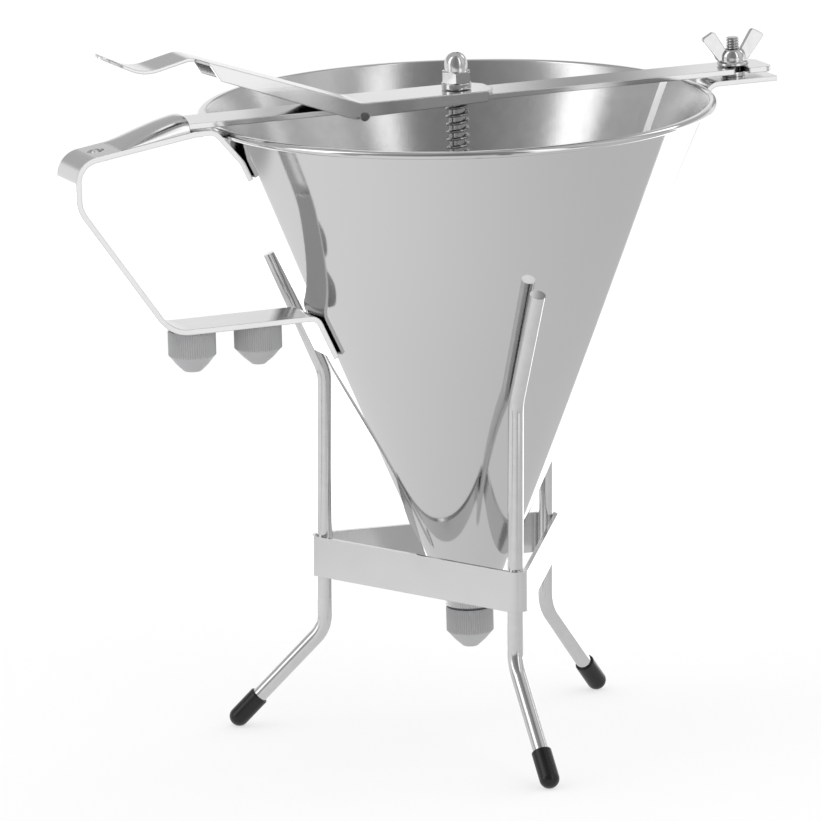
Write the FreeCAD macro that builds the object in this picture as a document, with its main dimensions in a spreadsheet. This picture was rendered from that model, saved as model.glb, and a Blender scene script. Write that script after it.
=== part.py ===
import FreeCAD, Part
import math
import os
import re

import Sketcher
from FreeCAD import Placement, Rotation, Vector

# Pancake batter dispenser: a sheet steel funnel with a thumb lever valve, a strap handle that
# carries two spare nozzles, and a three-legged rod stand.
# Millimetres, +Z up, floor at z = 0, origin under the middle of the stand.
# The funnel leans a little to -X in its stand. All its pieces are built upright on the stand's
# axis and share one placement. Pieces on the handle's side are drawn in a vertical plane with
# +X towards the handle, and are turned to the handle's direction by the same placement.

DRIVING_SIZES = [
    ("rod_radius", 2.9, "stand rod"),
    ("rod_circle", 51.3, "middle of the upright rods, from the axis"),
    ("first_rod_angle", 172.0, "direction of the first rod, degrees"),
    ("foot_circle", 83.6, "middle of the rubber feet, from the axis"),
    ("leg_corner_height", 39.15, "where an upright turns into its leg"),
    ("rod_bend", 14.0, "bend radius of the rods, to their middle"),
    ("rod_top_height", 180.3, "top end of a rod"),
    ("band_low", 59.3, "lower edge of the stand's band"),
    ("band_tall", 15.0, "height of the stand's band"),
    ("band_sheet", 1.6, "sheet of the stand's band"),
    ("cap_radius", 3.7, "rubber cap, outside"),
    ("cap_length", 15.0, "rubber cap, with its round end"),
    ("cap_lip", 0.45, "rounding of the rubber cap's upper edge"),
    ("full_round", 0.98, "share of a half width that a round end takes"),
    ("fine_round", 0.3, "rounding of small turned edges"),
    ("soft_round", 0.6, "rounding of larger turned edges"),
    ("weld_gap", 0.05, "between pieces that are welded or pressed together"),
    ("rest_gap", 1.6, "upright cone to a stand rod, across the surface"),
    ("lean", 1.5, "lean of the funnel in its stand, degrees"),
    ("lean_height", 160.0, "height of the point that the funnel leans about"),
    ("handle_angle", 202.5, "direction of the handle, degrees"),
    ("cone_slope", 0.4539, "growth of the cone's radius with height"),
    ("rim_height", 237.75, "top of the rim"),
    ("rim_overhang", 2.52, "rolled rim past the cone's wall"),
    ("rim_roll", 1.3, "radius of the rolled rim"),
    ("cone_sheet", 1.1, "wall of the cone, measured level"),
    ("outlet_bore", 5.2, "radius of the outlet's bore"),
    ("neck_radius", 6.7, "threaded neck of the outlet"),
    ("neck_length", 6.4, "threaded neck below the collar"),
    ("collar_wall", 0.52, "knurled collar of the outlet, wall at its upper end"),
    ("collar_low", 49.9, "underside of the outlet's collar"),
    ("cone_above", 0.6, "lower end of the cone, above that underside"),
    ("seat_drop", 2.0, "lower end of the valve seat, below that underside"),
    ("seat_step", 0.01, "inside of the cone, if it ran down to that end, past the bore"),
    ("collar_tall", 3.0, "height of the outlet's collar"),
    ("seal_sheet", 0.55, "sealing ring above the nozzle"),
    ("seal_width", 1.9, "width of the sealing ring"),
    ("piece_gap", 0.3, "between pieces that move past each other"),
    ("nozzle_radius", 8.75, "outside of a nozzle"),
    ("nozzle_collar", 9.0, "straight ribbed part of a nozzle"),
    ("nozzle_tip", 6.0, "tapered part of a nozzle"),
    ("nozzle_shoulder", 1.2, "height of the bevel below the ribs"),
    ("nozzle_step", 1.9, "width of the bevel below the ribs"),
    ("nozzle_floor", 6.6, "depth of a nozzle's wide bore"),
    ("straight_bore", 2.4, "straight end of a nozzle's bore"),
    ("rib_count", 60, "ribs round a nozzle"),
    ("groove_share", 0.6, "share of a rib's pitch that its groove takes"),
    ("rib_depth", 0.3, "depth of the grooves between the ribs"),
    ("large_tip", 3.3, "end radius of the left spare nozzle"),
    ("large_bore", 2.6, "outlet radius of the left spare nozzle"),
    ("middle_tip", 2.8, "end radius of the mounted nozzle"),
    ("middle_bore", 2.0, "outlet radius of the mounted nozzle"),
    ("small_tip", 2.6, "end radius of the right spare nozzle"),
    ("small_bore", 1.6, "outlet radius of the right spare nozzle"),
    ("strap_sheet", 2.0, "sheet of the handle strap"),
    ("strap_width", 19.5, "width of the handle strap and the clamp bracket"),
    ("tab_end_drop", 18.45, "lower end of the upper tab, below the rim"),
    ("tab_leave_drop", 11.75, "where the upper tab leaves the cone, below the rim"),
    ("crest_rise", 0.45, "middle of the strap's crest, above the rim"),
    ("crest_gap", 3.5, "rim to the inner end of the strap's crest"),
    ("crest_run", 8.0, "length of the strap's crest"),
    ("arm_fall", 0.15, "fall of the strap's top arm, per unit length"),
    ("grip_out", 44.8, "outermost part of the grip, from the crest's outer end"),
    ("grip_turn_drop", 23.4, "where the grip turns inwards, below the crest"),
    ("grip_slope", 1.453, "rise of the grip's slanted run, per unit length"),
    ("shelf_drop", 72.3, "middle of the strap's lower run, below the crest"),
    ("low_tab_drop", 15.5, "lower end of the lower tab, below that run"),
    ("crest_bend", 5.0, "bend at the ends of the crest"),
    ("top_bend", 8.0, "bend at the top of the grip"),
    ("grip_bend", 12.0, "bend where the grip turns inwards"),
    ("shelf_bend", 14.0, "bend at the outer end of the lower run"),
    ("tab_bend", 4.0, "bend above the lower tab"),
    ("hang_hole_radius", 3.1, "hanging hole"),
    ("hang_hole_out", 34.3, "hanging hole, from the crest's outer end"),
    ("peg_length", 5.2, "threaded peg of a spare nozzle"),
    ("inner_peg_out", 20.83, "right spare nozzle, from the cone's wall"),
    ("peg_pitch", 25.7, "right spare nozzle to the left one"),
    ("washer_tall", 1.7, "spacer washer on the clamp stud, with its gaps"),
    ("bar_sheet", 2.0, "sheet of the cross-bar"),
    ("bar_width", 17.0, "width of the cross-bar"),
    ("bar_in_hood", 2.5, "end of the cross-bar, inside the hood's mouth"),
    ("bar_past_stud", 12.3, "free end of the cross-bar, past the stud"),
    ("bar_corner", 2.5, "corner radius of the cross-bar"),
    ("hood_set_back", 1.5, "open end of the hood, from the crest's outer end"),
    ("hood_length", 26.5, "length of the hood"),
    ("hood_over", 2.4, "top of the hood at its open end, above the cross-bar"),
    ("hood_hollow", 0.63, "share of the hood's length that is hollow"),
    ("hood_width", 19.2, "width of the hood"),
    ("hood_sheet", 0.8, "sheet of the hood"),
    ("hood_round", 2.4, "rounding of the hood's long edges"),
    ("bracket_sheet", 1.8, "sheet of the clamp bracket"),
    ("bracket_past_stud", 13.4, "free end of the clamp bracket, past the stud"),
    ("bracket_drop", 0.35, "middle of the bracket's level run, below the rim"),
    ("stud_out", 16.0, "clamp stud, from the rim"),
    ("stud_radius", 2.4, "clamp stud"),
    ("stud_rise", 10.6, "top of the clamp stud, above the cross-bar"),
    ("notch_gap", 0.4, "clamp stud to the notch in the cross-bar"),
    ("washer_radius", 4.5, "spacer washer on the clamp stud"),
    ("thread_gap", 0.05, "running clearance of a shaft or thread"),
    ("wing_flange", 5.9, "flange radius of the wing nut"),
    ("wing_flange_tall", 1.6, "flange of the wing nut"),
    ("wing_hub", 4.4, "hub radius of the wing nut"),
    ("wing_hub_tall", 5.9, "height of the wing nut's hub"),
    ("wing_span", 13.0, "tip of a wing, from the stud's axis"),
    ("wing_tall", 13.2, "height of the wings"),
    ("hub_taper", 0.7, "wing nut's hub, narrower at its top"),
    ("wing_root", 0.6, "root of a wing, from the threaded bore"),
    ("wing_low", 0.8, "lower edge of a wing, above the nut's underside"),
    ("wing_foot", 1.0, "lower corner of a wing, past the hub"),
    ("wing_slant", 2.2, "upper outer corner of a wing, inside its widest point"),
    ("wing_apart", 1.6, "upper inner corner of a wing, past the hub"),
    ("wing_bite", 0.9, "inner edge of a wing, into the hub"),
    ("wing_curl", 1.6, "rounding of a wing's inner corners"),
    ("wing_curve", 3.2, "rounding of a wing's outer corners"),
    ("wing_bulge", 8.2, "height of the widest part of the wings"),
    ("wing_sheet", 2.0, "thickness of a wing"),
    ("pin_reach", 40.4, "lever's pivot pin, from the axis"),
    ("pin_drop", 1.3, "pivot pin below the cross-bar"),
    ("pin_radius", 1.0, "pivot pin"),
    ("pin_head", 1.6, "head radius of the pivot pin"),
    ("pin_head_tall", 0.6, "head thickness of the pivot pin"),
    ("knuckle_length", 6.0, "pivot knuckle, along the cross-bar"),
    ("knuckle_width", 15.0, "pivot knuckle, across the cross-bar"),
    ("knuckle_tall", 2.7, "pivot knuckle below the cross-bar"),
    ("lever_sheet", 1.2, "sheet of the lever"),
    ("lever_seat_gap", 0.4, "lever to cross-bar at rest"),
    ("lever_side_gap", 0.5, "lever's flange to the cross-bar's edge"),
    ("lever_right", 12.5, "lever past the valve rod"),
    ("lever_cheek_end", 8.5, "lever's flanges past the valve rod"),
    ("elbow_past_pin", 1.2, "lever's elbow, past its pivot pin"),
    ("elbow_bend", 8.0, "bend of the lever's elbow"),
    ("arm_rise", 0.348, "rise of the lever's arm, per unit length"),
    ("lever_arm", 64.7, "crest of the thumb rest, from the lever's elbow"),
    ("thumb_dip_run", 17.9, "dip of the thumb rest, from its crest"),
    ("thumb_dip_fall", 4.2, "dip of the thumb rest below its crest"),
    ("thumb_tip_run", 14.8, "tip of the thumb rest, from its dip"),
    ("thumb_tip_rise", 7.0, "tip of the thumb rest above its dip"),
    ("thumb_crest_bend", 7.0, "bend at the thumb rest's crest"),
    ("thumb_dip_bend", 16.0, "bend at the thumb rest's dip"),
    ("thumb_width", 16.0, "width of the thumb rest"),
    ("cheek_deep", 3.9, "depth of the lever's flanges at the elbow, below its sheet"),
    ("cheek_deep_end", 2.8, "depth of the flanges at the valve rod, below the sheet"),
    ("cheek_short", 10.4, "outer end of the lever's flanges, from the thumb rest's crest"),
    ("cheek_flat_in", 6.0, "level edge of the flanges, inwards from the elbow"),
    ("cheek_flat_out", 4.6, "level edge of the flanges, outwards from the elbow"),
    ("cheek_round", 3.0, "rounding of the flanges' lower edge at the elbow"),
    ("cheek_start_deep", 4.2, "depth of the flanges at their outer end"),
    ("ear_radius", 1.8, "rounded ear of a flange, round the pivot pin"),
    ("slot_length", 8.4, "slot for the valve rod in the lever"),
    ("slot_width", 7.2, "width of that slot"),
    ("slot_shift", 0.6, "middle of the slot, past the valve rod"),
    ("valve_rod_radius", 3.0, "valve rod"),
    ("rod_hole_gap", 0.35, "valve rod to the hole in the cross-bar"),
    ("rod_in_nut", 6.9, "upper end of the valve rod, inside the cap nut"),
    ("nut_end_gap", 0.3, "end of the valve rod to the end of the cap nut's bore"),
    ("plug_above", 2.1, "upper end of the valve plug, above the collar's underside"),
    ("plug_below", 2.7, "lower end of the valve plug, below the collar's underside"),
    ("plug_seat_gap", 0.35, "valve plug to its seat, measured level"),
    ("spring_length", 30.0, "valve spring, overall"),
    ("spring_radius", 3.9, "valve spring, to the middle of its wire"),
    ("spring_wire", 1.0, "wire of the valve spring"),
    ("spring_turns", 9, "open turns of the valve spring"),
    ("spring_end_pitch", 1.5, "pitch of the closed end turns"),
    ("stop_radius", 5.2, "spring stop on the valve rod"),
    ("stop_tall", 2.0, "height of the spring stop"),
    ("disc_radius", 5.5, "washer below the cap nut"),
    ("disc_tall", 2.2, "height of that washer"),
    ("nut_flats", 10.1, "cap nut across its flats"),
    ("nut_tall", 5.0, "height of the cap nut's hexagon"),
    ("nut_turn", 90.0, "direction of a corner of the cap nut's hexagon, degrees"),
    ("dome_radius", 4.3, "dome of the cap nut"),
    ("dome_tall", 6.1, "height of the cap nut's dome"),
]

doc = FreeCAD.newDocument("batter_dispenser")
sizes = doc.addObject("Spreadsheet::Sheet", "Sizes")
for row, (alias, amount, note) in enumerate(DRIVING_SIZES, 1):
    sizes.set(f"A{row}", note)
    sizes.set(f"B{row}", str(amount))
    sizes.setAlias(f"B{row}", alias)
doc.recompute()
ALIASES = {alias for alias, amount, note in DRIVING_SIZES}
SUB_PARTS = []


# Expressions. A size is written as an expression of the sheet's aliases.
def bound(expression):
    """The expression with the sheet's name before each alias."""
    def prefix(word):
        return "Sizes." + word.group(0) if word.group(0) in ALIASES else word.group(0)
    return re.sub(r"[a-z_]+", prefix, str(expression))


def num(expression):
    """The expression's value now."""
    found = sizes.evalExpression(str(expression))
    return float(getattr(found, "Value", found))


SEAT_LOW = "(collar_low - seat_drop)"
APEX = f"({SEAT_LOW} - (outlet_bore + seat_step + cone_sheet) / cone_slope)"


def cone_at(height):
    """Outer radius of the cone at a height, as an expression."""
    return f"(({height}) - {APEX}) * cone_slope"


# Shared places, as expressions.
CONE_COS = "(1 / sqrt(1 + cone_slope * cone_slope))"
ROD_OFF_CONE = f"((rod_radius + rest_gap) / {CONE_COS})"
FLARE_HEIGHT = f"({APEX} + (rod_circle - {ROD_OFF_CONE}) / cone_slope)"
NOZZLE_TOP = "(collar_low - seal_sheet - weld_gap - piece_gap)"
TAB_OFF_CONE = f"((strap_sheet / 2 + weld_gap) / {CONE_COS})"
CONE_END = "(collar_low + cone_above)"
RIM_RADIUS = f"({cone_at('rim_height')} + rim_overhang)"
COLLAR_TOP = "(collar_low + collar_tall)"
COLLAR_RADIUS = f"({cone_at(COLLAR_TOP)} + collar_wall)"
TAB_END = "(rim_height - tab_end_drop)"
TAB_LEAVE = "(rim_height - tab_leave_drop)"
CREST_HEIGHT = "(rim_height + crest_rise)"
CREST_START = f"({RIM_RADIUS} + crest_gap)"
CREST_END = f"({CREST_START} + crest_run)"
GRIP_REACH = f"({CREST_END} + grip_out)"
GRIP_TURN = f"({CREST_HEIGHT} - grip_turn_drop)"
SHELF_HEIGHT = f"({CREST_HEIGHT} - shelf_drop)"
LOW_TAB_END = f"({SHELF_HEIGHT} - low_tab_drop)"
HANG_HOLE_REACH = f"({CREST_END} + hang_hole_out)"
ARM_TOP = f"({CREST_HEIGHT} + strap_sheet / 2)"
SHELF_UNDER = f"({SHELF_HEIGHT} - strap_sheet / 2)"
INNER_PEG = f"({cone_at(SHELF_HEIGHT)} + inner_peg_out)"
OUTER_PEG = f"({INNER_PEG} + peg_pitch)"
BRACKET_HEIGHT = "(rim_height - bracket_drop)"
BRACKET_TOP = f"({BRACKET_HEIGHT} + bracket_sheet / 2)"
BAR_UNDER = f"({BRACKET_TOP} + washer_tall)"
BAR_TOP = f"({BAR_UNDER} + bar_sheet)"
STUD_REACH = f"({RIM_RADIUS} + stud_out)"
STUD_TOP = f"({BAR_TOP} + stud_rise)"
HOOD_MOUTH = f"({CREST_END} + hood_set_back)"
HOOD_TAIL = f"({HOOD_MOUTH} + hood_length)"
HOOD_TOP = f"({BAR_TOP} + hood_over)"
PIN_HEIGHT = f"({BAR_UNDER} - pin_drop)"
ELBOW = "(pin_reach + elbow_past_pin)"
THUMB_CREST = f"({ELBOW} + lever_arm)"
THUMB_DIP = f"({THUMB_CREST} + thumb_dip_run)"
THUMB_TIP = f"({THUMB_DIP} + thumb_tip_run)"
CHEEK_START = f"({THUMB_CREST} - cheek_short)"
LEVER_MIDDLE = f"({BAR_TOP} + lever_seat_gap + lever_sheet / 2)"
LEVER_INSIDE = "(bar_width / 2 + lever_side_gap)"
DISC_LOW = f"({BAR_TOP} + lever_seat_gap + lever_sheet + piece_gap)"
NUT_LOW = f"({DISC_LOW} + disc_tall)"
SPRING_TOP = f"({BAR_UNDER} - piece_gap)"
SPRING_LOW = f"({SPRING_TOP} - spring_length)"
STOP_TOP = f"({SPRING_LOW} - piece_gap)"
ROD_TIP = f"({NUT_LOW} + rod_in_nut)"
PLUG_TOP = "(collar_low + plug_above)"
PLUG_LOW = "(collar_low - plug_below)"


# Placements.
def about_axis(angle):
    return Placement(Vector(), Rotation(Vector(0, 0, 1), angle))


def leaned(angle=0.0):
    """The funnel's lean, after a turn about its own axis."""
    hinge = Vector(0, 0, num("lean_height"))
    lean = Placement(Vector(), Rotation(Vector(0, 1, 0), -num("lean")), hinge)
    return lean * about_axis(angle)


def handle_side(reach=0.0, height=0.0):
    """The handle's side of the leaned funnel, shifted out and up."""
    return leaned(num("handle_angle")) * Placement(Vector(reach, 0, height), Rotation())


# Bodies, sketches and features.
def body_named(name, placement=None):
    body = doc.addObject("PartDesign::Body", name)
    body.Label = name
    body.Placement = placement or Placement()
    SUB_PARTS.append(body)
    return body


def sketch_on(body, role, offset=None):
    """A sketch on one of the body's own origin planes."""
    sketch = body.newObject("Sketcher::SketchObject", "outline")
    plane = [part for part in body.Origin.OriginFeatures if part.Role == role][0]
    sketch.AttachmentSupport = [(plane, "")]
    sketch.MapMode = "FlatFace"
    if offset:
        sketch.AttachmentOffset = offset
    return sketch


def hold(sketch, element, point, across, up):
    """Ties a point of the sketch to two expressions."""
    for kind, axis, expression in (("DistanceX", -2, across), ("DistanceY", -1, up)):
        amount = num(expression)
        if abs(amount) < 1e-9:
            sketch.addConstraint(Sketcher.Constraint("PointOnObject", element, point, axis))
            continue
        tie = sketch.addConstraint(Sketcher.Constraint(kind, -1, 1, element, point, amount))
        sketch.setExpression(f"Constraints[{tie}]", bound(expression))


def rounded(before, corner, after, radius):
    """Start, middle and end of the arc that rounds a corner."""
    back = (before - corner).normalize()
    ahead = (after - corner).normalize()
    half = back.getAngle(ahead) / 2
    inwards = (back + ahead).normalize()
    reach = radius / math.tan(half)
    middle = corner + inwards * (radius / math.sin(half) - radius)
    return corner + back * reach, middle, corner + ahead * reach


def trace(sketch, corners, closed=True):
    """Draws straight runs through corners (across, up, bend), with the bends as tangent arcs."""
    spots = [Vector(num(corner[0]), num(corner[1]), 0) for corner in corners]
    count = len(spots)
    bends = []
    for index, corner in enumerate(corners):
        inner = closed or 0 < index < count - 1
        radius = num(corner[2]) if inner and len(corner) > 2 else 0
        after = spots[(index + 1) % count]
        bends.append(rounded(spots[index - 1], spots[index], after, radius) if radius else None)
    runs = []
    for index in range(count if closed else count - 1):
        start = bends[index][2] if bends[index] else spots[index]
        following = (index + 1) % count
        stop = bends[following][0] if bends[following] else spots[following]
        runs.append(sketch.addGeometry(Part.LineSegment(start, stop), False))
    for index in range(count):
        arriving = runs[index - 1] if closed or index else None
        leaving = runs[index] if index < len(runs) else None
        if not bends[index]:
            if arriving is not None and leaving is not None:
                sketch.addConstraint(Sketcher.Constraint("Coincident", arriving, 2, leaving, 1))
            element, point = (leaving, 1) if leaving is not None else (arriving, 2)
            hold(sketch, element, point, corners[index][0], corners[index][1])
            continue
        arc = sketch.addGeometry(Part.Arc(*bends[index]), False)
        turn = (spots[index] - spots[index - 1]).cross(spots[(index + 1) % count] - spots[index]).z
        first, last = (1, 2) if turn > 0 else (2, 1)
        mark = sketch.addGeometry(Part.Point(spots[index]), True)
        sketch.addConstraint(Sketcher.Constraint("Tangent", arriving, 2, arc, first))
        sketch.addConstraint(Sketcher.Constraint("Tangent", arc, last, leaving, 1))
        sketch.addConstraint(Sketcher.Constraint("PointOnObject", mark, 1, arriving))
        sketch.addConstraint(Sketcher.Constraint("PointOnObject", mark, 1, leaving))
        hold(sketch, mark, 1, corners[index][0], corners[index][1])
        radius = sketch.addConstraint(Sketcher.Constraint("Radius", arc, num(corners[index][2])))
        sketch.setExpression(f"Constraints[{radius}]", bound(corners[index][2]))
    return sketch


def circle(sketch, radius, across="0", up="0"):
    spot = Vector(num(across), num(up), 0)
    ring = sketch.addGeometry(Part.Circle(spot, Vector(0, 0, 1), num(radius)), False)
    hold(sketch, ring, 3, across, up)
    tie = sketch.addConstraint(Sketcher.Constraint("Radius", ring, num(radius)))
    sketch.setExpression(f"Constraints[{tie}]", bound(radius))
    return sketch


def feature(body, kind, sketch, **settings):
    made = body.newObject("PartDesign::" + kind, kind.lower())
    made.Profile = sketch
    for key, setting in settings.items():
        if isinstance(setting, str) and key in ("Length", "Length2"):
            setattr(made, key, num(setting))
            made.setExpression(key, bound(setting))
        else:
            setattr(made, key, setting)
    doc.recompute()
    return made


def revolved(body, corners):
    """A turned form: a profile of radius and height, spun about the body's Z axis."""
    sketch = trace(sketch_on(body, "XZ_Plane"), corners)
    return feature(body, "Revolution", sketch, ReferenceAxis=(sketch, ["V_Axis"]), Angle=360.0)


def padded(body, sketch, length, **settings):
    return feature(body, "Pad", sketch, Length=length, **settings)


def cut(body, sketch, length, **settings):
    """A pocket that must take something away."""
    before = body.Shape.Volume
    pocket = feature(body, "Pocket", sketch, Length=length, **settings)
    if not body.Shape.Volume < before - 1e-6:
        raise RuntimeError(f"{body.Label}: a pocket cut nothing")
    return pocket


def cut_through(body, sketch):
    """A pocket all the way, both ways from its sketch."""
    return cut(body, sketch, "rim_height * 3", Midplane=True)


def swept(body, corners, draw_section):
    """A section swept along a bent path in the body's XZ plane."""
    spine = trace(sketch_on(body, "XZ_Plane"), corners, closed=False)
    doc.recompute()
    section = body.newObject("Sketcher::SketchObject", "section")
    section.AttachmentSupport = [(spine, "Edge1")]
    section.MapMode = "NormalToEdge"
    doc.recompute()
    draw_section(section)
    return feature(body, "AdditivePipe", section, Spine=(spine, []))


def rectangle(sketch, width, tall, across="0", up="0"):
    """A rectangle about a point; across and up are its middle."""
    left, right = f"({across}) - ({width}) / 2", f"({across}) + ({width}) / 2"
    low, high = f"({up}) - ({tall}) / 2", f"({up}) + ({tall}) / 2"
    return trace(sketch, [(left, low), (right, low), (right, high), (left, high)])


def softened(body, radius, chosen):
    """Rounds the edges of the body that chosen accepts."""
    base = body.Tip
    names = [f"Edge{index}" for index, edge in enumerate(base.Shape.Edges, 1) if chosen(edge)]
    fillet = body.newObject("PartDesign::Fillet", "fillet")
    fillet.Base = (base, names)
    fillet.setExpression("Radius", bound(radius))
    doc.recompute()
    return fillet


# The stand.
def stand_rod(name, angle):
    """Upright rod: a slanted leg below, and a flare at the cone's slope above."""
    body = body_named(name, about_axis(angle))
    top_reach = f"rod_circle + (rod_top_height - {FLARE_HEIGHT}) * cone_slope"
    path = [
        ("foot_circle", "cap_radius"),
        ("rod_circle", "leg_corner_height", "rod_bend"),
        ("rod_circle", FLARE_HEIGHT, "rod_bend"),
        (top_reach, "rod_top_height"),
    ]
    swept(body, path, lambda section: circle(section, "rod_radius"))


def foot_cap(name, angle):
    """Rubber cap with a round end, pushed on the foot of a leg."""
    rise = num("leg_corner_height - cap_radius")
    run = num("foot_circle - rod_circle")
    slant = Placement(Vector(num("foot_circle"), 0, num("cap_radius")),
                      Rotation(Vector(0, 0, 1), Vector(-run, 0, rise)))
    body = body_named(name, about_axis(angle) * slant)
    sleeve = "(cap_length - cap_radius)"
    inside = "(rod_radius + weld_gap)"
    revolved(body, [
        ("0", "-cap_radius"),
        ("cap_radius", "-cap_radius", "cap_radius * full_round"),
        ("cap_radius", sleeve, "cap_lip"),
        (inside, sleeve),
        (inside, "-weld_gap"),
        ("0", "-weld_gap"),
    ])


def stand_band():
    """Three-cornered band round the outside of the rods."""
    body = body_named("stand_band", about_axis(num("first_rod_angle")))
    sketch = sketch_on(body, "XY_Plane", Placement(Vector(0, 0, num("band_low")), Rotation()))
    sketch.setExpression(".AttachmentOffset.Base.z", bound("band_low"))
    for radius in ("(rod_radius + weld_gap + band_sheet)", "(rod_radius + weld_gap)"):
        reach = f"(rod_circle + 2 * {radius})"
        trace(sketch, [
            (reach, "0", radius),
            (f"-{reach} / 2", f"{reach} * sqrt(3) / 2", radius),
            (f"-{reach} / 2", f"-{reach} * sqrt(3) / 2", radius),
        ])
    padded(body, sketch, "band_tall")


# The funnel and its outlet.
def funnel_cone():
    """Sheet cone with a rolled rim."""
    body = body_named("funnel_cone", leaned())
    under_rim = "(rim_height - 2 * rim_roll)"
    revolved(body, [
        (cone_at(CONE_END), CONE_END),
        (cone_at(under_rim), under_rim, "fine_round"),
        (RIM_RADIUS, under_rim, "rim_roll * full_round"),
        (RIM_RADIUS, "rim_height", "rim_roll * full_round"),
        (f"{cone_at('rim_height')} - cone_sheet", "rim_height", "soft_round"),
        (f"{cone_at(CONE_END)} - cone_sheet", CONE_END),
    ])


def outlet_collar():
    """Turned outlet welded on the cone: knurled collar, threaded neck and valve seat."""
    body = body_named("outlet_collar", leaned())
    seat_end = f"({CONE_END} - weld_gap)"
    revolved(body, [
        ("outlet_bore", "collar_low - neck_length"),
        ("neck_radius", "collar_low - neck_length", "fine_round"),
        ("neck_radius", "collar_low"),
        (COLLAR_RADIUS, "collar_low", "fine_round"),
        (COLLAR_RADIUS, COLLAR_TOP),
        (f"{cone_at(COLLAR_TOP)} + weld_gap * 2", COLLAR_TOP),
        (f"{cone_at(seat_end)} + weld_gap * 2", seat_end),
        (f"outlet_bore + ({seat_end} - {SEAT_LOW}) * cone_slope", seat_end),
        ("outlet_bore", SEAT_LOW),
    ])


def sealing_ring():
    body = body_named("sealing_ring", leaned())
    revolved(body, [
        ("neck_radius + weld_gap", "collar_low - weld_gap - seal_sheet"),
        ("neck_radius + seal_width", "collar_low - weld_gap - seal_sheet", "fine_round"),
        ("neck_radius + seal_width", "collar_low - weld_gap"),
        ("neck_radius + weld_gap", "collar_low - weld_gap"),
    ])


def nozzle(name, placement, tip, bore):
    """Screw-on nozzle with a ribbed grip; its top face is at the body's own z = 0."""
    body = body_named(name, placement)
    low = "(0 - nozzle_collar - nozzle_tip)"
    wide = "(neck_radius + piece_gap)"
    revolved(body, [
        (wide, "0"),
        ("nozzle_radius", "0"),
        ("nozzle_radius", "-nozzle_collar"),
        ("nozzle_radius - nozzle_step", "-(nozzle_collar + nozzle_shoulder)"),
        (f"{tip} + fine_round", low, "soft_round"),
        (bore, low),
        (bore, "-(nozzle_collar + nozzle_tip - straight_bore)"),
        (wide, "-nozzle_floor"),
    ])
    sketch = sketch_on(body, "XY_Plane")
    half = "(3.14159265 * nozzle_radius / rib_count * groove_share)"
    trace(sketch, [
        ("nozzle_radius - rib_depth", "0"),
        ("nozzle_radius + rib_depth", f"-{half} * 2"),
        ("nozzle_radius + rib_depth", f"{half} * 2"),
    ])
    groove = cut(body, sketch, "nozzle_collar")
    ring = body.newObject("PartDesign::PolarPattern", "ribs")
    ring.Originals = [groove]
    ring.Axis = (sketch, ["N_Axis"])
    ring.Angle = 360.0
    ring.Occurrences = int(num("rib_count"))
    ring.setExpression("Occurrences", bound("rib_count"))
    body.Tip = ring
    doc.recompute()


# The handle and what it carries.
def handle_strap():
    """One bent strap: tab, crest, top arm, grip, lower run and lower tab, with a hanging hole."""
    body = body_named("handle_strap", handle_side())
    top_corner = f"{CREST_HEIGHT} - grip_out * arm_fall"
    shelf_corner = f"{GRIP_REACH} - ({GRIP_TURN} - {SHELF_HEIGHT}) / grip_slope"
    path = [
        (f"{cone_at(TAB_END)} + {TAB_OFF_CONE}", TAB_END),
        (f"{cone_at(TAB_LEAVE)} + {TAB_OFF_CONE}", TAB_LEAVE, "crest_bend"),
        (CREST_START, CREST_HEIGHT, "crest_bend"),
        (CREST_END, CREST_HEIGHT, "crest_bend"),
        (GRIP_REACH, top_corner, "top_bend"),
        (GRIP_REACH, GRIP_TURN, "grip_bend"),
        (shelf_corner, SHELF_HEIGHT, "shelf_bend"),
        (f"{cone_at(SHELF_HEIGHT)} + {TAB_OFF_CONE}", SHELF_HEIGHT, "tab_bend"),
        (f"{cone_at(LOW_TAB_END)} + {TAB_OFF_CONE}", LOW_TAB_END),
    ]
    swept(body, path, lambda section: rectangle(section, "strap_width", "strap_sheet"))
    fall = math.degrees(math.atan(num("arm_fall")))
    hole_height = num(f"{CREST_HEIGHT} - hang_hole_out * arm_fall")
    spot = Vector(num(HANG_HOLE_REACH), 0, hole_height)
    sketch = sketch_on(body, "XY_Plane", Placement(spot, Rotation(Vector(0, 1, 0), fall)))
    circle(sketch, "hang_hole_radius")
    cut(body, sketch, "strap_sheet * 3", Midplane=True)


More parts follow.
